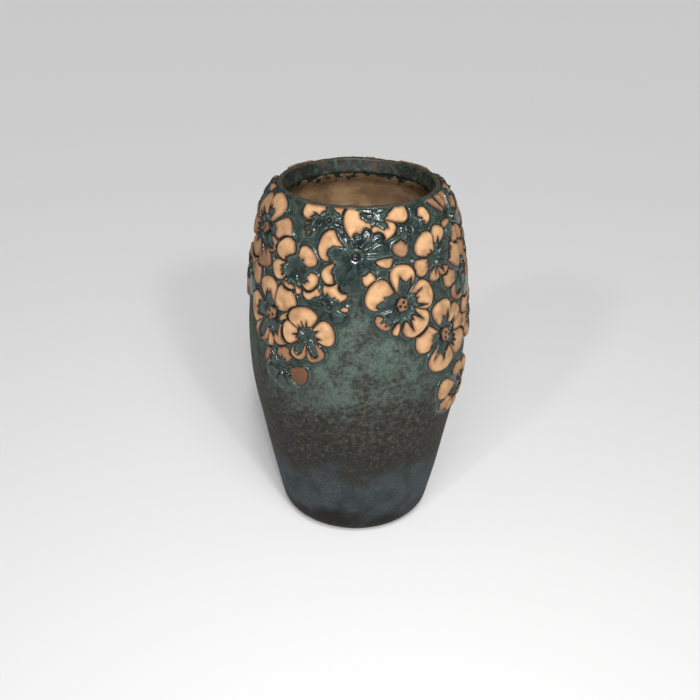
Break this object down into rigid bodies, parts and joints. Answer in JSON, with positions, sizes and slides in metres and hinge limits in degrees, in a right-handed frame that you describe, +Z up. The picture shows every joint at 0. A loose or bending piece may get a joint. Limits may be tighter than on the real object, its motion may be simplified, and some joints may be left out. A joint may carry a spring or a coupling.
{
  "type": "flower-applied stoneware vase",
  "caption": "Barrel-shaped glazed stoneware vase with open mouth and applied clay flowers in relief around the shoulder.",
  "frame": {"origin": "centre of the foot's flat underside", "axes": "+Z up along the vase's axis; the front, as seen in the picture, faces -Y; +X is to the viewer's right"},
  "size_m": [0.1314, 0.1282, 0.21],
  "materials": {
    "wall_glaze": "satin reactive glaze, teal-green over dark brown, mottled",
    "rim_glaze": "thin green glaze worn grey-brown at the lip",
    "bare_clay": "bare fired peach clay with burnt brown edges and glazed carving",
    "button_clay": "bare fired clay, pricked"
  },
  "bodies": {
    "root": {"blossom_01": "bare_clay", "blossom_02": "bare_clay", "blossom_03": "bare_clay", "blossom_04": "bare_clay", "blossom_05": "bare_clay", "blossom_06": "bare_clay", "blossom_07": "bare_clay", "blossom_08": "bare_clay", "blossom_09": "bare_clay", "blossom_10": "bare_clay", "blossom_11": "bare_clay", "blossom_12": "bare_clay", "blossom_13": "bare_clay", "blossom_14": "bare_clay", "blossom_15": "bare_clay", "blossom_16": "bare_clay", "blossom_17": "bare_clay", "blossom_18": "bare_clay", "blossom_19": "bare_clay", "blossom_20": "bare_clay", "blossom_21": "bare_clay", "blossom_22": "bare_clay", "blossom_23": "bare_clay", "blossom_24": "bare_clay", "blossom_25": "bare_clay", "blossom_26": "bare_clay", "blossom_27": "bare_clay", "blossom_28": "bare_clay", "blossom_29": "bare_clay", "blossom_30": "bare_clay", "blossom_31": "bare_clay", "blossom_32": "bare_clay", "blossom_33": "bare_clay", "blossom_34": "bare_clay", "blossom_35": "bare_clay", "blossom_36": "bare_clay", "blossom_37": "bare_clay", "blossom_38": "bare_clay", "blossom_39": "bare_clay", "button_01": "button_clay", "button_02": "button_clay", "button_04": "button_clay", "button_05": "button_clay", "button_06": "button_clay", "button_10": "button_clay", "button_13": "button_clay", "button_16": "button_clay", "button_18": "button_clay", "button_21": "button_clay", "button_22": "button_clay", "button_24": "button_clay", "button_26": "button_clay", "button_27": "button_clay", "button_31": "button_clay", "button_32": "button_clay", "button_34": "button_clay", "button_37": "button_clay", "leaf": "wall_glaze", "rim_coil": "rim_glaze", "thrown_body": "wall_glaze"}
  },
  "joints": []
}
